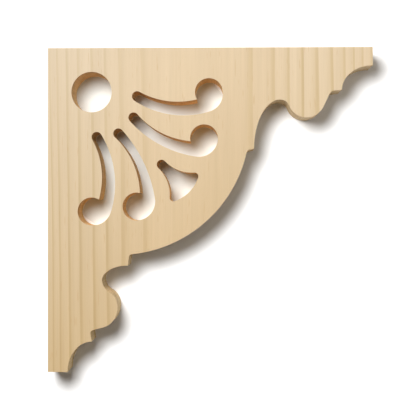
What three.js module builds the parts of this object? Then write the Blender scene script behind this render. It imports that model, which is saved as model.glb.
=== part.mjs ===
// Corner bracket: one flat pine board, scroll-sawn to a scalloped outline and pierced with a round hole,
// four scroll-shaped slots and a fan-shaped hole.
//
// Millimetres. X runs along the beam, away from the post, Z is up, and Y is the board's thickness, with the
// front at -Y. The origin is the middle of the edge that sits against the post.
//
// Both legs are drawn alike: "along" is measured from the corner out along a leg, and "depth" from the leg's
// straight edge into the board. On the beam leg they run along X and down, on the post leg down and along X.

import * as THREE from 'three';

// Board
const LEG = 254;
const THICKNESS = 19;

// Outline of a leg, from its square tip inwards: a cove, a ledge, a round lobe, a hollow and a big cove.
// The legs were sawn by eye, so they differ a little.
const LOBE = { depth: 40.6, radius: 14.2 };
const BEAM_LEG = {
  tipDepth: 14.3,
  tipCove: { along: 24, depth: 19 },
  ledge: { along: 8.4, depth: 0.8 },
  lobe: { along: 202.3, reach: 14.6 },
  hollowCrown: { along: 182, depth: 40.8 },
  bigCove: { along: 20.4, depth: 38.3 },
};
const POST_LEG = {
  tipDepth: 15.4,
  tipCove: { along: 23.9, depth: 19 },
  ledge: { along: 8.4, depth: -1.3 },
  lobe: { along: 203.1, reach: 16.2 },
  hollowCrown: { along: 182, depth: 42.5 },
  bigCove: { along: 11.5, depth: 20.4 },
};

// Round belly between the legs, and the small step where each big cove ends on it
const BELLY = { x: 55.6, down: 59.4, radius: 102.7 };
const BELLY_STEP = 1;
const INNER_CORNER_SETBACK = 2.2;

// Round hole near the corner
const HOLE = { along: 34.4, depth: 34.6, radius: 15.85 };

// Scroll slot: a round tail, two long curves, and a bulb that the outer curve hooks into
const SCROLL = {
  tailRadius: 4,
  bulbRadius: 10.9,
  innerRadius: 61.8,
  hookRadius: 14.9,
  notchTurn: THREE.MathUtils.degToRad(28),
  hookTurn: THREE.MathUtils.degToRad(10),
};

// Each scroll slot: the tail's centre on its leg, the way from there to the bulb's centre, and the outer curve
const BEAM_SCROLLS = [
  { along: 70.1, depth: 38, heading: -3.2, length: 56.3, outerRadius: 70 },
  { along: 67.3, depth: 54.6, heading: 16.5, length: 57.6, outerRadius: 88 },
];
const POST_SCROLLS = [
  { along: 69.8, depth: 38.4, heading: -4, length: 58.4, outerRadius: 74 },
  { along: 67.1, depth: 55.4, heading: 14, length: 58.9, outerRadius: 105 },
];

// Fan hole: a round apex, two flared sides, rounded corners and a bowed outer edge, on the diagonal
const FAN = {
  along: 89.3,
  depth: 91.4,
  heading: 45,
  length: 30.5,
  apexRadius: 3.75,
  neck: 1,
  flareRadius: 28.5,
  cornerRadius: 3,
  outerRadius: 30,
};

// Fineness of the curves
const LONGEST_FACET = 1.8;
const LARGEST_TURN = THREE.MathUtils.degToRad(10);

// Finish
const PINE_COLOUR = 0xdfc6a2;
const PINE_ROUGHNESS = 0.62;

const point = (along, depth) => new THREE.Vector2(along, depth);
const angleTo = (from, to) => Math.atan2(to.y - from.y, to.x - from.x);

// Point at a given distance and angle from a centre
function polar(centre, radius, angle) {
  return point(centre.x + radius * Math.cos(angle), centre.y + radius * Math.sin(angle));
}

// Points of an elliptic or circular arc, in the direction from start to end
function arc(centre, alongRadius, depthRadius, start, end) {
  const curve = new THREE.EllipseCurve(centre.x, centre.y, alongRadius, depthRadius, start, end, end < start);
  const sweep = Math.abs(end - start);
  const facets = Math.max(sweep / LARGEST_TURN, (sweep * Math.max(alongRadius, depthRadius)) / LONGEST_FACET);
  return curve.getPoints(Math.ceil(facets));
}

const roundArc = (centre, radius, start, end) => arc(centre, radius, radius, start, end);

// Rounded inner corner, set back by the same length on both sides
function softCorner(before, corner, after) {
  const toBefore = before.clone().sub(corner).setLength(INNER_CORNER_SETBACK);
  const toAfter = after.clone().sub(corner).setLength(INNER_CORNER_SETBACK);
  const curve = new THREE.QuadraticBezierCurve(corner.clone().add(toBefore), corner, corner.clone().add(toAfter));
  return curve.getPoints(4);
}

// Point at distance radiusA from a and radiusB from b, to the left (1) or right (-1) of the way from a to b
function meet(a, radiusA, b, radiusB, side) {
  const gap = a.distanceTo(b);
  const forward = (gap ** 2 + radiusA ** 2 - radiusB ** 2) / (2 * gap);
  const sideways = side * Math.sqrt(radiusA ** 2 - forward ** 2);
  const way = b.clone().sub(a).divideScalar(gap);
  return point(a.x + way.x * forward - way.y * sideways, a.y + way.y * forward + way.x * sideways);
}

// One leg from its tip to the inner end of its big cove
function legProfile(leg) {
  const { tipCove, ledge, hollowCrown, bigCove } = leg;
  const tipCentre = point(LEG, leg.tipDepth + tipCove.depth);
  const nose = point(LEG - tipCove.along, tipCentre.y);
  const ledgeEnd = point(nose.x - ledge.along, nose.y + ledge.depth);

  // The straight flank leaves the ledge and touches the lobe, which is an ellipse on its tip side
  const lobe = point(leg.lobe.along, LOBE.depth);
  const stretch = point(leg.lobe.reach / LOBE.radius, 1);
  const unstretched = ledgeEnd.clone().sub(lobe).divide(stretch);
  const flankAngle = unstretched.angle() - 2 * Math.PI + Math.acos(LOBE.radius / unstretched.length());
  const lobeTipSide = arc(lobe, leg.lobe.reach, LOBE.radius, flankAngle, Math.PI / 2);

  // The hollow's circle touches the lobe and has its crown at the given point
  const across = lobe.x - hollowCrown.along;
  const rise = hollowCrown.depth - lobe.y;
  const hollowRadius = (across ** 2 + rise ** 2 - LOBE.radius ** 2) / (2 * (LOBE.radius - rise));
  const hollow = point(hollowCrown.along, hollowCrown.depth + hollowRadius);
  const touch = angleTo(lobe, hollow);

  const coveCentre = point(hollowCrown.along, hollowCrown.depth + bigCove.depth);
  return [
    point(LEG, 0),
    ...arc(tipCentre, tipCove.along, tipCove.depth, -Math.PI / 2, -Math.PI),
    ...softCorner(nose, ledgeEnd, lobeTipSide[0]),
    ...lobeTipSide,
    ...roundArc(lobe, LOBE.radius, Math.PI / 2, touch),
    ...roundArc(hollow, hollowRadius, touch + Math.PI, 1.5 * Math.PI),
    ...arc(coveCentre, bigCove.along, bigCove.depth, -Math.PI / 2, -Math.PI),
  ];
}

const onBeam = (place) => point(place.x, place.y);
const onPost = (place) => point(place.y, place.x);

// The board's whole edge: the corner, the post leg, the round belly and the beam leg
function boardOutline() {
  const beamLeg = legProfile(BEAM_LEG).map(onBeam);
  const postLeg = legProfile(POST_LEG).map(onPost);
  const belly = point(BELLY.x, BELLY.down);

  // Each big cove ends in a small step down to the belly's arc
  const beamStep = beamLeg.at(-1);
  const postStep = postLeg.at(-1);
  const beamAngle = Math.asin((beamStep.y + BELLY_STEP - belly.y) / BELLY.radius);
  const postAngle = Math.acos((postStep.x + BELLY_STEP - belly.x) / BELLY.radius);
  const trim = INNER_CORNER_SETBACK / BELLY.radius;
  const bellyArc = roundArc(belly, BELLY.radius, postAngle - trim, beamAngle + trim);
  return [
    point(0, 0),
    ...postLeg,
    ...softCorner(postStep, polar(belly, BELLY.radius, postAngle), bellyArc[0]),
    ...bellyArc,
    ...softCorner(bellyArc.at(-1), polar(belly, BELLY.radius, beamAngle), beamStep),
    ...beamLeg.reverse(),
  ];
}

// Scroll slot with its tail at the origin and its bulb along +x, the outer curve on the +y side
function scrollOutline({ length, outerRadius }) {
  const s = SCROLL;
  const tail = point(0, 0);
  const bulb = point(length, 0);
  const notch = polar(bulb, s.bulbRadius, Math.PI - s.notchTurn);
  const hook = polar(bulb, s.bulbRadius - s.hookRadius, -s.hookTurn);
  const inner = meet(tail, s.innerRadius + s.tailRadius, notch, s.innerRadius, -1);
  const outer = meet(tail, outerRadius - s.tailRadius, hook, outerRadius - s.hookRadius, -1);
  const fullTurn = 2 * Math.PI;
  return [
    ...roundArc(tail, s.tailRadius, angleTo(outer, tail), angleTo(tail, inner) + fullTurn),
    ...roundArc(inner, s.innerRadius, angleTo(inner, tail), angleTo(inner, notch)),
    ...roundArc(bulb, s.bulbRadius, Math.PI - s.notchTurn, fullTurn - s.hookTurn),
    ...roundArc(hook, s.hookRadius, -s.hookTurn, angleTo(outer, hook)),
    ...roundArc(outer, outerRadius, angleTo(outer, hook), angleTo(outer, tail)),
  ];
}

// Fan hole with its apex at the origin and its bowed edge across +x
function fanOutline() {
  const f = FAN;
  const apex = point(0, 0);
  const flare = point(f.neck, f.apexRadius + f.flareRadius);
  const outer = point(f.length - f.outerRadius, 0);
  const corner = meet(flare, f.flareRadius + f.cornerRadius, outer, f.outerRadius - f.cornerRadius, 1);
  const half = [
    ...roundArc(outer, f.outerRadius, 0, angleTo(outer, corner)),
    ...roundArc(corner, f.cornerRadius, angleTo(outer, corner), angleTo(corner, flare)),
    ...roundArc(flare, f.flareRadius, angleTo(flare, corner), -Math.PI / 2),
    ...roundArc(apex, f.apexRadius, Math.PI / 2, Math.PI),
  ];
  const otherHalf = half.map((place) => point(place.x, -place.y)).reverse();
  return [...half, ...otherHalf];
}

// An opening drawn at the origin, turned to its heading and moved to its place on a leg
function placed(outline, place) {
  const heading = THREE.MathUtils.degToRad(place.heading);
  const origin = point(0, 0);
  const start = point(place.along, place.depth);
  return outline.map((drawn) => drawn.clone().rotateAround(origin, heading).add(start));
}

// A closed path on the board's face, with no two neighbouring points alike
function closedPath(PathType, outline) {
  const tooClose = 0.01;
  const kept = outline.filter((place, i) => place.distanceTo(outline.at(i - 1)) > tooClose);
  return new PathType(kept.map((place) => point(place.x, LEG / 2 - place.y)));
}

function bracketShape() {
  const roundHole = roundArc(point(HOLE.along, HOLE.depth), HOLE.radius, 0, 2 * Math.PI);
  const scroll = (place) => placed(scrollOutline(place), place);
  const openings = [
    roundHole,
    ...BEAM_SCROLLS.map((place) => scroll(place).map(onBeam)),
    ...POST_SCROLLS.map((place) => scroll(place).map(onPost)),
    placed(fanOutline(), FAN),
  ];
  const shape = closedPath(THREE.Shape, boardOutline());
  shape.holes = openings.map((outline) => closedPath(THREE.Path, outline));
  return shape;
}

function bracketBoard() {
  const geometry = new THREE.ExtrudeGeometry(bracketShape(), { depth: THICKNESS, steps: 1, bevelEnabled: false });
  const material = new THREE.MeshStandardMaterial({
    color: PINE_COLOUR,
    roughness: PINE_ROUGHNESS,
    metalness: 0,
  });
  const board = new THREE.Mesh(geometry, material);
  board.name = 'bracket';
  board.rotation.x = Math.PI / 2;
  board.position.y = THICKNESS / 2;
  return board;
}

const cornerBracket = new THREE.Group();
cornerBracket.add(bracketBoard());

export default cornerBracket;
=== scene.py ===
"""Dresses the sawn pine corner bracket and sets it up in a small studio.

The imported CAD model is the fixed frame: metres, +X along the beam, +Y to the back face, +Z up.
"""

import math

import bmesh
import bpy
from bpy.props import FloatProperty, FloatVectorProperty, IntProperty, PointerProperty
from bpy.types import Operator, Panel, PropertyGroup
from mathutils import Matrix, Vector


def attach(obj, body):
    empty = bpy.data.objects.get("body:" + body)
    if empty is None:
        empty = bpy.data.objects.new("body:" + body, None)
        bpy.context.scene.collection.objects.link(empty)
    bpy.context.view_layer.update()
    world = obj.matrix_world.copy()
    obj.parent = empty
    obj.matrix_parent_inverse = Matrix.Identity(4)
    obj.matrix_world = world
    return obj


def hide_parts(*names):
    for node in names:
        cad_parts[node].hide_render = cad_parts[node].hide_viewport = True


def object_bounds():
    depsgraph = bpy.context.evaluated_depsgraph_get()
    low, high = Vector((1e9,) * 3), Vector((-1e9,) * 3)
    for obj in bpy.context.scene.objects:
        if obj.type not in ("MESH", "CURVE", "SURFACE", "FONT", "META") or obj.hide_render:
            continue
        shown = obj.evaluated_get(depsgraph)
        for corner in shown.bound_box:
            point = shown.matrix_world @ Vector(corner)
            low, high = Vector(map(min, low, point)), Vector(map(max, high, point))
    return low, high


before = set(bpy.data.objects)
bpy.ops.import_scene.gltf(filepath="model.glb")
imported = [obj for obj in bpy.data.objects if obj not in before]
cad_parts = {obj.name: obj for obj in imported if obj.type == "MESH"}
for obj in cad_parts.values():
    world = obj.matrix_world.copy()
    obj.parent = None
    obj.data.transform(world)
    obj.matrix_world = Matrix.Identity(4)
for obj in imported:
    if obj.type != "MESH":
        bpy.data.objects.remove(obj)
CAD_LOW, CAD_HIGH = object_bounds()

bl_info = {
    "name": "Pine Corner Bracket",
    "version": (1, 0, 0),
    "blender": (4, 5, 0),
    "location": "3D View > Sidebar > Bracket",
    "description": "Builds the dressed pine corner bracket and the studio around it",
    "category": "Object",
}

CAD_MIDDLE = 0.5 * (CAD_LOW + CAD_HIGH)
TO_THE_BACK = Vector((0.0, 1.0, 0.0))

# The board's node and body in the frame
BOARD_NODE = "bracket"
BOARD_BODY = "root"

# A circle around all the openings, inside which the sheet is painted darker as shade: X and Z of its
# middle, and its radius
PAINTED_SHADE_MIDDLE = (0.0754, 0.0506)
PAINTED_SHADE_REACH = 0.0749

# Places of the finishes in the board's list of materials
PLANED = 0
OUTLINE = 1
PIERCED = 2

# How near points and faces are to count as one, and directions to count as square
MERGE_DISTANCE = 1e-6
FLAT_ANGLE = math.radians(0.05)
SQUARE_ENOUGH = 0.001

# Distance of each ring line from the pith
RING_RADII = (
    0.0453, 0.0548, 0.0646, 0.0746, 0.0846, 0.0946, 0.1024,
    0.1100, 0.1184, 0.1253, 0.1313, 0.1358, 0.1403, 0.1448, 0.1493,
)
# Right of the pith the outer rings are wider: from this radius on, a share of the way isn't counted
WIDE_RINGS_FROM = 0.1156
WIDE_RINGS_SHARE = 0.245
# How far ring lines stray, and the share of a ring that they are moved inwards
RING_WANDER = 0.0036
RING_SHIFT = 0.04
# How dark the wood is at places across one ring, from its inside to its outside
RING_SHADES = ((0.0, 0.0), (0.36, 0.0), (0.68, 0.26), (0.88, 1.0), (0.95, 1.0), (1.0, 0.0))

# Strength of the ring lines: from year to year, in patches, near the pith and near the corner
YEAR_STRENGTHS = (0.72, 1.0)
PATCH_STRENGTHS = (0.75, 1.0)
PITH_RADII = (0.0765, 0.0885)
PITH_STRENGTHS = (0.12, 1.0)
CORNER_DISTANCES = (0.02, 0.18)
CORNER_STRENGTHS = (0.48, 0.82)

# The heart's tint fades out between these radii
HEART_RADII = (0.075, 0.115)

# The foot tint, partly yellower wood and partly painted shade where the light fades, grows down the
# board, and along X by a share, with a wavering front
FADE_LEAN = -0.17
FADE_WANDER = 0.06

# Noise patches for each metre along X, Y and Z
WANDER_PATCHES = (22.0, 22.0, 5.0)
LINE_PATCHES = (60.0, 60.0, 9.0)
FINE_FIBRES = (1500.0, 1500.0, 26.0)
BROAD_FIBRES = (330.0, 330.0, 7.0)
RESIN_STREAKS = (820.0, 820.0, 75.0)
TONE_PATCHES = (16.0, 16.0, 4.0)
SAW_STROKES = (950.0, 45.0, 950.0)

# Spans of values: the whole range, the part that most of a noise lies in, and the peaks that are resin
WHOLE = (0.0, 1.0)
MOST = (0.3, 0.7)
FIBRE_MOST = (0.25, 0.75)
RESIN_PEAKS = (0.66, 0.76)

# How much fibres, patches, saw strokes, resin and ring lines change the colour
FIBRE_SHADES = (0.955, 1.035)
TONE_SHADES = (0.975, 1.025)
# The saw strokes vary the walls and also lift all of them above the planed faces: painted light
STROKE_AND_PAINTED_LIGHT_SHADES = (1.06, 1.20)
RESIN_STRENGTH = 0.36
PLANED_CONTRAST = 0.95
SAWN_CONTRAST = 1.0

# End grain shows where a wall faces up or down; the larger share in the openings than around the outside
# is painted shade
END_GRAIN_TURNS = (0.15, 1.0)
OUTLINE_END_SHARE = 0.35
PIERCED_END_AND_PAINTED_SHADE_SHARE = 0.55

# Roughness across fibres or strokes, how much smoother ring lines are, and heights in the bump
PLANED_ROUGHNESS = (0.66, 0.54)
SAWN_ROUGHNESS = (0.82, 0.70)
LINE_SMOOTHNESS = 0.08
LINE_HEIGHT = 0.5
SAWN_FIBRE_HEIGHT = 0.4

# A ray that meets the sheet within this many gaps starts right against it, as from the board's back
TOUCHING_GAPS = 1.5

# The camera's sensor in millimetres, and the nearest distance that it sees in metres
SENSOR_WIDTH = 36.0
NEAR_CLIP = 0.01

# Places of the colour sockets on a Mix node, because its other kinds of sockets have the same names
MIX_FACTOR = 0
MIX_FIRST = 6
MIX_SECOND = 7
MIX_RESULT = 2


class BoardSettings(PropertyGroup):
    """Sizes of the sawn board."""

    eased_edge: FloatProperty(
        name="Eased Edge",
        description="How far the sanding block has rounded the sharp arrises",
        default=0.0003,
        min=0.0001,
        max=0.003,
        unit="LENGTH",
    )
    edge_steps: IntProperty(
        name="Edge Steps",
        description="Number of faces across a rounded arris",
        default=3,
        min=1,
        max=8,
    )
    arris_angle: FloatProperty(
        name="Arris Angle",
        description="Edges that turn by more than this are arrises and get rounded",
        default=math.radians(28),
        min=math.radians(12),
        max=math.radians(80),
        unit="ROTATION",
    )


class PineSettings(PropertyGroup):
    """Colours and growth of the pine."""

    early_wood: FloatVectorProperty(
        name="Early Wood",
        description="Colour of the pale, soft wood between the ring lines",
        subtype="COLOR",
        size=3,
        default=(0.575, 0.462, 0.318),
        min=0,
        max=1,
    )
    late_wood: FloatVectorProperty(
        name="Late Wood",
        description="Colour of the darker ring lines",
        subtype="COLOR",
        size=3,
        default=(0.444, 0.330, 0.172),
        min=0,
        max=1,
    )
    resin: FloatVectorProperty(
        name="Resin",
        description="Colour of the short resin streaks",
        subtype="COLOR",
        size=3,
        default=(0.44, 0.27, 0.12),
        min=0,
        max=1,
    )
    heart_tint: FloatVectorProperty(
        name="Heart Tint",
        description="How the wood changes colour towards the heart of the tree",
        subtype="COLOR",
        size=3,
        default=(1.0, 0.975, 0.93),
        min=0,
        max=1,
    )
    # Partly yellower wood and partly painted shade: the wood darkens down to the foot and to the right
    # as the light fades
    foot_yellowing_and_painted_shade: FloatVectorProperty(
        name="Foot Yellowing and Painted Shade",
        description="How the wood changes colour from the corner down to the foot of the board",
        subtype="COLOR",
        size=3,
        default=(0.852, 0.776, 0.624),
        min=0,
        max=1,
    )
    outline_tint: FloatVectorProperty(
        name="Outline Tint",
        description="How the walls around the outside differ in colour from the planed faces",
        subtype="COLOR",
        size=3,
        default=(1.02, 1.03, 0.97),
        min=0,
        max=2,
    )
    # Painted warm shade: the openings' walls are browner and more saturated than the outside walls, as
    # bounce light in shade makes them
    pierced_painted_shade_tint: FloatVectorProperty(
        name="Pierced Painted Shade Tint",
        description="How the walls of the tight openings differ in colour from the planed faces",
        subtype="COLOR",
        size=3,
        default=(1.04, 0.92, 0.70),
        min=0,
        max=2,
    )
    end_grain: FloatVectorProperty(
        name="End Grain",
        description="Colour of wood cut across its fibres",
        subtype="COLOR",
        size=3,
        default=(0.60, 0.39, 0.215),
        min=0,
        max=1,
    )
    pith: FloatVectorProperty(
        name="Pith",
        description="A point on the middle line of the tree that the board was sawn from",
        subtype="TRANSLATION",
        size=3,
        default=(0.1165, 0.0618, 0.119),
    )
    grain_lean: FloatProperty(
        name="Grain Lean",
        description="Angle between the grain and the edge along the post",
        default=math.radians(-0.7),
        min=math.radians(-10),
        max=math.radians(10),
        unit="ROTATION",
    )


class StudioSettings(PropertyGroup):
    """Sizes, light and camera of the studio."""

    sheet: FloatVectorProperty(
        name="Sheet",
        description="Colour of the backdrop sheet",
        subtype="COLOR",
        size=3,
        default=(0.91, 0.91, 0.91),
        min=0,
        max=1,
    )
    # Painted shade: the sheet behind the middle of the board is darker than the rest, as the floor seen
    # through the openings
    painted_shade_sheet: FloatVectorProperty(
        name="Painted Shade Sheet",
        description="Colour of the sheet under the middle of the board, seen through the openings",
        subtype="COLOR",
        size=3,
        default=(0.712, 0.734, 0.720),
        min=0,
        max=1,
    )
    sheet_gap: FloatProperty(
        name="Sheet Gap",
        description="Distance from the back of the bracket to the backdrop sheet",
        default=0.0002,
        min=0.00005,
        max=0.01,
        unit="LENGTH",
    )
    sheet_reach: FloatProperty(
        name="Sheet Reach",
        description="How far the sheet goes to each side of the bracket, above it and below it",
        default=1.4,
        min=0.5,
        max=5,
        unit="LENGTH",
    )
    key_power: FloatProperty(
        name="Key Power",
        description="Power of the softbox at the upper left",
        default=55.4,
        min=0,
        max=500,
        unit="POWER",
    )
    key_size: FloatProperty(
        name="Key Size",
        description="Width of the round softbox, which sets how soft the shadows are",
        default=0.414,
        min=0.01,
        max=5,
        unit="LENGTH",
    )
    key_place: FloatVectorProperty(
        name="Key Place",
        description="Where the softbox stands",
        subtype="TRANSLATION",
        size=3,
        default=(-0.093, -0.475, 0.292),
    )
    fill_power: FloatProperty(
        name="Fill Power",
        description="Power of the weaker softbox at the right",
        default=0.67,
        min=0,
        max=500,
        unit="POWER",
    )
    fill_size: FloatProperty(
        name="Fill Size",
        description="Width of the weaker softbox",
        default=0.4,
        min=0.01,
        max=5,
        unit="LENGTH",
    )
    fill_colour: FloatVectorProperty(
        name="Fill Colour",
        description="Colour of the weaker softbox, warmed by the room behind it",
        subtype="COLOR",
        size=3,
        default=(1.0, 0.95, 0.89),
        min=0,
        max=1,
    )
    fill_place: FloatVectorProperty(
        name="Fill Place",
        description="Where the weaker softbox stands",
        subtype="TRANSLATION",
        size=3,
        default=(0.60, -0.48, 0.12),
    )
    back_strength: FloatProperty(
        name="Back Strength",
        description="Strength of the light that shows the back face, straight on through the sheet",
        default=2.6,
        min=0,
        max=50,
    )
    room_light: FloatProperty(
        name="Room Light",
        description="Brightness of the room all around",
        default=0.085,
        min=0,
        max=5,
    )
    room_colour: FloatVectorProperty(
        name="Room Colour",
        description="Colour of the light from the room",
        subtype="COLOR",
        size=3,
        default=(1.0, 0.87, 0.72),
        min=0,
        max=1,
    )
    camera_place: FloatVectorProperty(
        name="Camera Place",
        description="Where the camera stands",
        subtype="TRANSLATION",
        size=3,
        default=(0.1354, -0.5326, -0.0001),
    )
    camera_turn: FloatVectorProperty(
        name="Camera Turn",
        description="How the camera is turned",
        subtype="EULER",
        size=3,
        default=(math.radians(90.013), math.radians(0.008), math.radians(0.9)),
    )
    lens: FloatProperty(
        name="Lens",
        description="Focal length of the camera",
        default=57.4,
        min=10,
        max=300,
        unit="CAMERA",
    )


def feed(tree, socket, value):
    """Links a socket to another socket, or sets it to a plain value."""
    if isinstance(value, bpy.types.NodeSocket):
        tree.links.new(value, socket)
    else:
        socket.default_value = value


def put(tree, kind, inputs=(), **settings):
    """Adds a node, sets its fields, and feeds its inputs by name."""
    node = tree.nodes.new(kind)
    for name, value in settings.items():
        setattr(node, name, value)
    for name, value in dict(inputs).items():
        feed(tree, node.inputs[name], value)
    return node


def reckon(tree, operation, *values):
    """Adds a Math node and returns its result."""
    node = put(tree, "ShaderNodeMath", operation=operation)
    for socket, value in zip(node.inputs, values):
        feed(tree, socket, value)
    return node.outputs[0]


def reckon_vector(tree, operation, *values):
    """Adds a Vector Math node and returns it, because some operations give a vector and some a value."""
    node = put(tree, "ShaderNodeVectorMath", operation=operation)
    for socket, value in zip(node.inputs, values):
        feed(tree, socket, value)
    return node


def remap(tree, value, span, to, interpolation_type="SMOOTHSTEP"):
    """Adds a Map Range node from one span of values to another and returns its result."""
    inputs = {
        "Value": value,
        "From Min": span[0],
        "From Max": span[1],
        "To Min": to[0],
        "To Max": to[1],
    }
    node = put(tree, "ShaderNodeMapRange", inputs, interpolation_type=interpolation_type)
    return node.outputs["Result"]


def blend_colour(tree, amount, first, second, blend_type="MIX"):
    """Adds a colour Mix node and returns its result."""
    node = put(tree, "ShaderNodeMix", data_type="RGBA", blend_type=blend_type)
    feed(tree, node.inputs[MIX_FACTOR], amount)
    feed(tree, node.inputs[MIX_FIRST], first)
    feed(tree, node.inputs[MIX_SECOND], second)
    return node.outputs[MIX_RESULT]


def shade_colour(tree, colour, shade):
    """Makes a colour lighter or darker by a value and returns the result."""
    grey = put(tree, "ShaderNodeCombineColor", {"Red": shade, "Green": shade, "Blue": shade})
    return blend_colour(tree, 1.0, colour, grey.outputs[0], "MULTIPLY")


def rgba(colour):
    """A colour property with full alpha, as a colour socket takes it."""
    return (*colour, 1.0)


def stretched_noise(tree, position, patches, detail=2.0, roughness=0.5):
    """Noise with a number of patches for each metre on each axis. The result runs from 0 to 1."""
    mapping = put(tree, "ShaderNodeMapping", {"Vector": position, "Scale": patches}, vector_type="POINT")
    noise = put(
        tree,
        "ShaderNodeTexNoise",
        {"Vector": mapping.outputs[0], "Scale": 1.0, "Detail": detail, "Roughness": roughness},
    )
    return noise.outputs[0]


def ring_count(tree, radius):
    """Number of rings from the first ring line out to a radius, whole at each ring line."""
    first, last = RING_RADII[0], RING_RADII[-1]
    count = len(RING_RADII) - 1
    along = reckon(tree, "DIVIDE", reckon(tree, "SUBTRACT", radius, first), last - first)
    curve = put(tree, "ShaderNodeFloatCurve", {"Value": along})
    points = curve.mapping.curves[0].points
    for ring, place in enumerate(RING_RADII[1:-1], start=1):
        points.new((place - first) / (last - first), ring / count)
    for point in points:
        point.handle_type = "VECTOR"
    curve.mapping.update()
    return reckon(tree, "MULTIPLY", curve.outputs["Value"], count)


def ring_profile(tree, phase):
    """How dark the wood is across one ring: slowly darker outwards, then pale again at once."""
    ramp = put(tree, "ShaderNodeValToRGB", {"Fac": phase})
    ramp.color_ramp.interpolation = "EASE"
    elements = ramp.color_ramp.elements
    while len(elements) < len(RING_SHADES):
        elements.new(0.5)
    for element, (place, dark) in zip(elements, RING_SHADES):
        element.position = place
        element.color = (dark, dark, dark, 1.0)
    return ramp.outputs["Color"]


def ring_lines(group, position, from_pith, radius):
    """Strength of the dark ring lines, from 0 to 1."""
    side = put(group, "ShaderNodeSeparateXYZ", {"Vector": from_pith})
    right = reckon(group, "GREATER_THAN", side.outputs["X"], 0.0)
    outer = reckon(group, "MAXIMUM", reckon(group, "SUBTRACT", radius, WIDE_RINGS_FROM), 0.0)
    uncounted = reckon(group, "MULTIPLY", reckon(group, "MULTIPLY", outer, right), WIDE_RINGS_SHARE)
    rings = ring_count(group, reckon(group, "SUBTRACT", radius, uncounted))
    rings = reckon(group, "ADD", rings, RING_SHIFT)
    dark = ring_profile(group, reckon(group, "FRACT", rings))
    year = put(
        group,
        "ShaderNodeTexWhiteNoise",
        {"W": reckon(group, "FLOOR", rings)},
        noise_dimensions="1D",
    )
    corner = (CAD_LOW.x, 0.0, CAD_HIGH.z)
    from_corner = reckon_vector(group, "DISTANCE", position, corner).outputs["Value"]
    patches = stretched_noise(group, position, LINE_PATCHES)
    for strength in (
        remap(group, year.outputs["Value"], WHOLE, YEAR_STRENGTHS),
        remap(group, radius, PITH_RADII, PITH_STRENGTHS),
        remap(group, from_corner, CORNER_DISTANCES, CORNER_STRENGTHS),
        remap(group, patches, MOST, PATCH_STRENGTHS),
    ):
        dark = reckon(group, "MULTIPLY", dark, strength)
    return dark


def grain_group(pine):
    """The grain that the planed faces and the sawn walls share, as one solid pattern in the wood, with a
    foot mask for the painted shade down the board.
    """
    group = bpy.data.node_groups.new("Pine Grain", "ShaderNodeTree")
    group.interface.new_socket("Position", in_out="INPUT", socket_type="NodeSocketVector")
    for name in ("Late Wood", "Fibre", "Resin", "Tone", "Heart", "Foot"):
        group.interface.new_socket(name, in_out="OUTPUT", socket_type="NodeSocketFloat")
    position = group.nodes.new("NodeGroupInput").outputs["Position"]
    results = group.nodes.new("NodeGroupOutput")

    from_pith = put(
        group,
        "ShaderNodeMapping",
        {"Vector": position, "Location": pine.pith, "Rotation": (0.0, pine.grain_lean, 0.0)},
        vector_type="TEXTURE",
    ).outputs[0]
    across = reckon_vector(group, "MULTIPLY", from_pith, (1.0, 1.0, 0.0)).outputs["Vector"]
    distance = reckon_vector(group, "LENGTH", across).outputs["Value"]
    wander = stretched_noise(group, position, WANDER_PATCHES, detail=3.0)
    wander = reckon(group, "MULTIPLY", reckon(group, "SUBTRACT", wander, 0.5), RING_WANDER)
    radius = reckon(group, "ADD", distance, wander)
    lines = ring_lines(group, position, from_pith, radius)
    group.links.new(lines, results.inputs["Late Wood"])
    group.links.new(remap(group, radius, HEART_RADII, (1.0, 0.0)), results.inputs["Heart"])

    fine = stretched_noise(group, position, FINE_FIBRES, detail=3.0, roughness=0.6)
    broad = stretched_noise(group, position, BROAD_FIBRES)
    fibre = reckon(group, "MULTIPLY", reckon(group, "ADD", fine, broad), 0.5)
    group.links.new(fibre, results.inputs["Fibre"])

    streaks = stretched_noise(group, position, RESIN_STREAKS, detail=1.0)
    group.links.new(remap(group, streaks, RESIN_PEAKS, WHOLE), results.inputs["Resin"])

    tone = stretched_noise(group, position, TONE_PATCHES)
    group.links.new(tone, results.inputs["Tone"])
    spot = put(group, "ShaderNodeSeparateXYZ", {"Vector": position})
    # Painted shade: the foot mask grows down the board and away from the post, where the light fades
    height = reckon(group, "MULTIPLY_ADD", spot.outputs["X"], FADE_LEAN, spot.outputs["Z"])
    waver = reckon(group, "MULTIPLY", reckon(group, "SUBTRACT", tone, 0.5), FADE_WANDER)
    height = reckon(group, "ADD", height, waver)
    foot = remap(group, height, (CAD_HIGH.z, CAD_LOW.z), WHOLE, interpolation_type="LINEAR")
    group.links.new(foot, results.inputs["Foot"])
    return group


def wood_colour(tree, grain, pine, contrast):
    """Mixes the grain's masks into the colour of the wood."""
    dark = reckon(tree, "MULTIPLY", grain.outputs["Late Wood"], contrast)
    colour = blend_colour(tree, dark, rgba(pine.early_wood), rgba(pine.late_wood))
    colour = blend_colour(tree, grain.outputs["Heart"], colour, rgba(pine.heart_tint), "MULTIPLY")
    # Painted shade, partly yellower wood: the foot tint darkens the wood down the board
    colour = blend_colour(tree, grain.outputs["Foot"], colour, rgba(pine.foot_yellowing_and_painted_shade), "MULTIPLY")
    fibres = remap(tree, grain.outputs["Fibre"], FIBRE_MOST, FIBRE_SHADES)
    tones = remap(tree, grain.outputs["Tone"], MOST, TONE_SHADES)
    colour = shade_colour(tree, colour, reckon(tree, "MULTIPLY", fibres, tones))
    drops = reckon(tree, "MULTIPLY", grain.outputs["Resin"], RESIN_STRENGTH)
    return blend_colour(tree, drops, colour, rgba(pine.resin))


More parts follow.
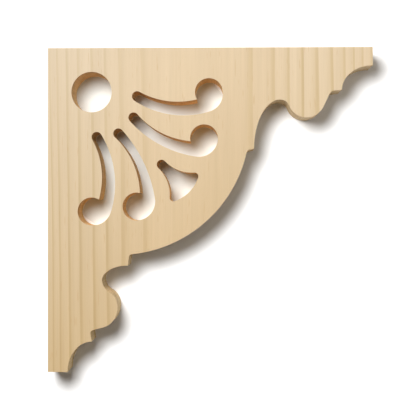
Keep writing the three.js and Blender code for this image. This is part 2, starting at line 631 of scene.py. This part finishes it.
def new_material(name):
    """An empty material with a Principled shader wired to its output."""
    material = bpy.data.materials.new(name)
    material.use_nodes = True
    tree = material.node_tree
    tree.nodes.clear()
    output = tree.nodes.new("ShaderNodeOutputMaterial")
    shader = tree.nodes.new("ShaderNodeBsdfPrincipled")
    tree.links.new(shader.outputs[0], output.inputs["Surface"])
    return material, tree, shader


def placed_grain(tree, group):
    """Puts the shared grain into a material, on the board's own coordinates."""
    place = tree.nodes.new("ShaderNodeTexCoord")
    grain = put(tree, "ShaderNodeGroup", node_tree=group)
    tree.links.new(place.outputs["Object"], grain.inputs["Position"])
    return grain, place


def raise_surface(tree, shader, height, strength, distance):
    """Gives the shader a bump from a height."""
    bump = put(tree, "ShaderNodeBump", {"Height": height, "Strength": strength, "Distance": distance})
    tree.links.new(bump.outputs["Normal"], shader.inputs["Normal"])


def planed_pine(pine, group):
    """The two wide faces: planed and sanded, with the grain running up the board."""
    material, tree, shader = new_material("Planed Pine")
    grain, _ = placed_grain(tree, group)
    fibre = grain.outputs["Fibre"]
    lines = grain.outputs["Late Wood"]
    tree.links.new(wood_colour(tree, grain, pine, PLANED_CONTRAST), shader.inputs["Base Color"])
    rough = remap(tree, fibre, FIBRE_MOST, PLANED_ROUGHNESS)
    rough = reckon(tree, "SUBTRACT", rough, reckon(tree, "MULTIPLY", lines, LINE_SMOOTHNESS))
    tree.links.new(rough, shader.inputs["Roughness"])
    height = reckon(tree, "MULTIPLY_ADD", lines, LINE_HEIGHT, fibre)
    raise_surface(tree, shader, height, strength=0.30, distance=0.0001)
    shader.inputs["Specular IOR Level"].default_value = 0.35
    return material


def sawn_pine(name, tint, end_grain_and_painted_shade_share, pine, group):
    """Walls that the saw left: rougher, marked along the cut, browner by a share across the fibres, and
    lightened by the strokes as painted light; in the openings the tint and the larger end share are
    painted warm shade.
    """
    material, tree, shader = new_material(name)
    grain, place = placed_grain(tree, group)
    colour = wood_colour(tree, grain, pine, SAWN_CONTRAST)
    facing = put(tree, "ShaderNodeSeparateXYZ", {"Vector": place.outputs["Normal"]})
    upright = reckon(tree, "ABSOLUTE", facing.outputs["Z"])
    end = remap(tree, upright, END_GRAIN_TURNS, (0.0, end_grain_and_painted_shade_share))
    colour = blend_colour(tree, end, colour, rgba(pine.end_grain))
    # For the openings' walls this multiplies in painted warm shade
    colour = blend_colour(tree, 1.0, colour, rgba(tint), "MULTIPLY")
    strokes = stretched_noise(tree, place.outputs["Object"], SAW_STROKES)
    # Painted light: the strokes make every sawn wall lighter, besides marking it
    colour = shade_colour(tree, colour, remap(tree, strokes, MOST, STROKE_AND_PAINTED_LIGHT_SHADES))
    tree.links.new(colour, shader.inputs["Base Color"])
    tree.links.new(remap(tree, strokes, MOST, SAWN_ROUGHNESS), shader.inputs["Roughness"])
    height = reckon(tree, "MULTIPLY_ADD", grain.outputs["Fibre"], SAWN_FIBRE_HEIGHT, strokes)
    raise_surface(tree, shader, height, strength=0.45, distance=0.0002)
    shader.inputs["Specular IOR Level"].default_value = 0.3
    return material


def shown(name, bm, materials):
    """Turns a bmesh into an object at the origin, with its materials."""
    mesh = bpy.data.meshes.new(name)
    bm.to_mesh(mesh)
    bm.free()
    for material in materials:
        mesh.materials.append(material)
    piece = bpy.data.objects.new(name, mesh)
    bpy.context.scene.collection.objects.link(piece)
    return piece


def is_wide_face(face):
    """True for a face that lies in the front or the back of the board."""
    return abs(face.normal.y) > 1.0 - SQUARE_ENOUGH


def is_wall(face):
    """True for a face of a sawn wall, square to the front and the back."""
    return abs(face.normal.y) < SQUARE_ENOUGH


def outline_faces(bm):
    """All faces around the outside of the board, found by walking on from its edge along the post."""
    start = min(bm.verts, key=lambda v: v.co.x)
    waiting = [f for f in start.link_faces if not is_wide_face(f)]
    found = set(waiting)
    while waiting:
        for edge in waiting.pop().edges:
            fresh = [f for f in edge.link_faces if f not in found and not is_wide_face(f)]
            found.update(fresh)
            waiting.extend(fresh)
    return found


def eased_board(board):
    """The CAD board with its triangles joined to flat faces and its arrises rounded."""
    bm = bmesh.new()
    bm.from_mesh(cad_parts[BOARD_NODE].data)
    bmesh.ops.remove_doubles(bm, verts=bm.verts[:], dist=MERGE_DISTANCE)
    bmesh.ops.dissolve_limit(bm, angle_limit=FLAT_ANGLE, verts=bm.verts[:], edges=bm.edges[:])
    arrises = [e for e in bm.edges if e.calc_face_angle(0.0) > board.arris_angle]
    if not arrises:
        raise RuntimeError("the board's mesh has no arrises to ease")
    bmesh.ops.bevel(
        bm,
        geom=arrises,
        offset=board.eased_edge,
        offset_type="OFFSET",
        affect="EDGES",
        segments=board.edge_steps,
        profile=0.5,
        material=-1,
        clamp_overlap=True,
    )
    bm.normal_update()
    wide = [f for f in bm.faces if is_wide_face(f)]
    bmesh.ops.triangulate(bm, faces=wide, quad_method="BEAUTY", ngon_method="BEAUTY")
    bm.normal_update()
    return bm


def assign_finishes(bm):
    """Gives each face its finish, and shades walls and arrises round without blending them."""
    outline = outline_faces(bm)
    for face in bm.faces:
        if is_wide_face(face):
            face.material_index = PLANED
        elif face in outline:
            face.material_index = OUTLINE
        else:
            face.material_index = PIERCED
        face.smooth = face.material_index != PLANED
    for edge in bm.edges:
        if len({is_wall(f) for f in edge.link_faces}) == 2:
            edge.smooth = False


class BRACKET_OT_board(Operator):
    """Builds the sawn board with its eased arrises and pine grain"""

    bl_idname = "bracket.board"
    bl_label = "Sawn Board"
    bl_options = {"REGISTER", "UNDO"}

    def execute(self, context):
        pine = context.scene.bracket_pine
        bm = eased_board(context.scene.bracket_board)
        assign_finishes(bm)
        group = grain_group(pine)
        finishes = (
            planed_pine(pine, group),
            sawn_pine("Sawn Outline", pine.outline_tint, OUTLINE_END_SHARE, pine, group),
            # The openings' walls get painted warm shade: a browner tint and more end grain than the
            # outside walls
            sawn_pine("Sawn Openings Painted Shade", pine.pierced_painted_shade_tint, PIERCED_END_AND_PAINTED_SHADE_SHARE, pine, group),
        )
        piece = shown("sawn_board", bm, finishes)
        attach(piece, BOARD_BODY)
        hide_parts(BOARD_NODE)
        return {"FINISHED"}


def sheet_material(studio):
    """Pale matt paper with painted shade behind the openings, seen from its front only, and open right
    against the back of the bracket.
    """
    material, tree, shader = new_material("Backdrop Paper")
    place = tree.nodes.new("ShaderNodeTexCoord").outputs["Object"]
    middle = (PAINTED_SHADE_MIDDLE[0], CAD_HIGH.y + studio.sheet_gap, PAINTED_SHADE_MIDDLE[1])
    away = reckon_vector(tree, "DISTANCE", place, middle).outputs["Value"]
    # Painted shade: the sheet is darker inside the circle behind the openings
    painted_shade_patch = reckon(tree, "LESS_THAN", away, PAINTED_SHADE_REACH)
    colour = blend_colour(tree, painted_shade_patch, rgba(studio.sheet), rgba(studio.painted_shade_sheet))
    tree.links.new(colour, shader.inputs["Base Color"])
    shader.inputs["Roughness"].default_value = 0.9
    shader.inputs["Specular IOR Level"].default_value = 0.1
    behind = tree.nodes.new("ShaderNodeNewGeometry").outputs["Backfacing"]
    reach = tree.nodes.new("ShaderNodeLightPath").outputs["Ray Length"]
    touching = reckon(tree, "LESS_THAN", reach, TOUCHING_GAPS * studio.sheet_gap)
    open_here = reckon(tree, "MAXIMUM", behind, touching)
    clear = tree.nodes.new("ShaderNodeBsdfTransparent")
    mixed = put(tree, "ShaderNodeMixShader", {"Fac": open_here})
    tree.links.new(shader.outputs[0], mixed.inputs[1])
    tree.links.new(clear.outputs[0], mixed.inputs[2])
    output = next(n for n in tree.nodes if n.type == "OUTPUT_MATERIAL")
    tree.links.new(mixed.outputs[0], output.inputs["Surface"])
    return material


def backdrop(studio):
    """The pale sheet that the bracket lies flat against."""
    bm = bmesh.new()
    bmesh.ops.create_grid(bm, x_segments=1, y_segments=1, size=studio.sheet_reach)
    upright = Matrix.Rotation(math.radians(90), 3, "X")
    bmesh.ops.rotate(bm, verts=bm.verts[:], matrix=upright)
    place = (CAD_MIDDLE.x, CAD_HIGH.y + studio.sheet_gap, CAD_MIDDLE.z)
    bmesh.ops.translate(bm, verts=bm.verts[:], vec=place)
    shown("backdrop_sheet", bm, (sheet_material(studio),))


def lamp(name, kind, place, aim, **settings):
    """Adds a light at a place, pointing at another place."""
    data = bpy.data.lights.new(name, kind)
    for field, value in settings.items():
        setattr(data, field, value)
    light = bpy.data.objects.new(name, data)
    light.location = place
    light.rotation_euler = (Vector(aim) - Vector(place)).to_track_quat("-Z", "Y").to_euler()
    light.visible_camera = False
    bpy.context.scene.collection.objects.link(light)
    return light


def even_out(light):
    """Lets a lamp that faces the sheet light all of it alike, near and far."""
    light.data.use_nodes = True
    tree = light.data.node_tree
    falloff = put(tree, "ShaderNodeLightFalloff", {"Strength": 1.0}).outputs["Constant"]
    strength = reckon(tree, "MULTIPLY", falloff, falloff)
    tree.links.new(strength, tree.nodes["Emission"].inputs["Strength"])


def lights(studio):
    """The softbox at the upper left, a weaker one at the right, and a light for the back face."""
    key_place = Vector(studio.key_place)
    key = lamp(
        "key",
        "AREA",
        key_place,
        key_place + TO_THE_BACK,
        energy=studio.key_power,
        shape="DISK",
        size=studio.key_size,
    )
    even_out(key)
    lamp(
        "fill",
        "AREA",
        studio.fill_place,
        CAD_MIDDLE,
        energy=studio.fill_power,
        color=studio.fill_colour,
        shape="DISK",
        size=studio.fill_size,
    )
    lamp("back", "SUN", CAD_MIDDLE + TO_THE_BACK, CAD_MIDDLE, energy=studio.back_strength)


def room(studio):
    """A bright even room: white to look at, dimmer and warmer as light."""
    world = bpy.data.worlds.new("Room")
    bpy.context.scene.world = world
    world.use_nodes = True
    tree = world.node_tree
    tree.nodes.clear()
    seen = tree.nodes.new("ShaderNodeLightPath").outputs["Is Camera Ray"]
    strength = remap(tree, seen, WHOLE, (studio.room_light, 1.0))
    colour = blend_colour(tree, seen, rgba(studio.room_colour), (1.0, 1.0, 1.0, 1.0))
    background = put(tree, "ShaderNodeBackground", {"Color": colour, "Strength": strength})
    output = tree.nodes.new("ShaderNodeOutputWorld")
    tree.links.new(background.outputs[0], output.inputs["Surface"])


def camera(studio):
    """The camera in front of the bracket, square on to it."""
    data = bpy.data.cameras.new("front_camera")
    data.sensor_width = SENSOR_WIDTH
    data.lens = studio.lens
    data.clip_start = NEAR_CLIP
    eye = bpy.data.objects.new("front_camera", data)
    eye.location = studio.camera_place
    eye.rotation_euler = studio.camera_turn
    bpy.context.scene.collection.objects.link(eye)
    bpy.context.scene.camera = eye


class BRACKET_OT_studio(Operator):
    """Sets up the backdrop, the lights and the camera"""

    bl_idname = "bracket.studio"
    bl_label = "Studio"
    bl_options = {"REGISTER", "UNDO"}

    def execute(self, context):
        studio = context.scene.bracket_studio
        backdrop(studio)
        lights(studio)
        room(studio)
        camera(studio)
        context.scene.view_settings.view_transform = "Standard"
        return {"FINISHED"}


class BRACKET_PT_panel(Panel):
    """Lists the pieces of the bracket and the studio"""

    bl_idname = "BRACKET_PT_panel"
    bl_label = "Corner Bracket"
    bl_space_type = "VIEW_3D"
    bl_region_type = "UI"
    bl_category = "Bracket"

    def draw(self, context):
        scene = context.scene
        for title, settings, operator in (
            ("Board", scene.bracket_board, BRACKET_OT_board.bl_idname),
            ("Pine", scene.bracket_pine, None),
            ("Studio", scene.bracket_studio, BRACKET_OT_studio.bl_idname),
        ):
            box = self.layout.box()
            box.label(text=title)
            for name in settings.__annotations__:
                box.prop(settings, name)
            if operator:
                box.operator(operator)


CLASSES = (
    BoardSettings,
    PineSettings,
    StudioSettings,
    BRACKET_OT_board,
    BRACKET_OT_studio,
    BRACKET_PT_panel,
)


def register():
    for cls in CLASSES:
        bpy.utils.register_class(cls)
    bpy.types.Scene.bracket_board = PointerProperty(type=BoardSettings)
    bpy.types.Scene.bracket_pine = PointerProperty(type=PineSettings)
    bpy.types.Scene.bracket_studio = PointerProperty(type=StudioSettings)


def unregister():
    del bpy.types.Scene.bracket_studio
    del bpy.types.Scene.bracket_pine
    del bpy.types.Scene.bracket_board
    for cls in reversed(CLASSES):
        bpy.utils.unregister_class(cls)


def main():
    """Builds the bracket and its studio."""
    register()
    bpy.ops.bracket.board()
    bpy.ops.bracket.studio()


if __name__ == "__main__":
    main()
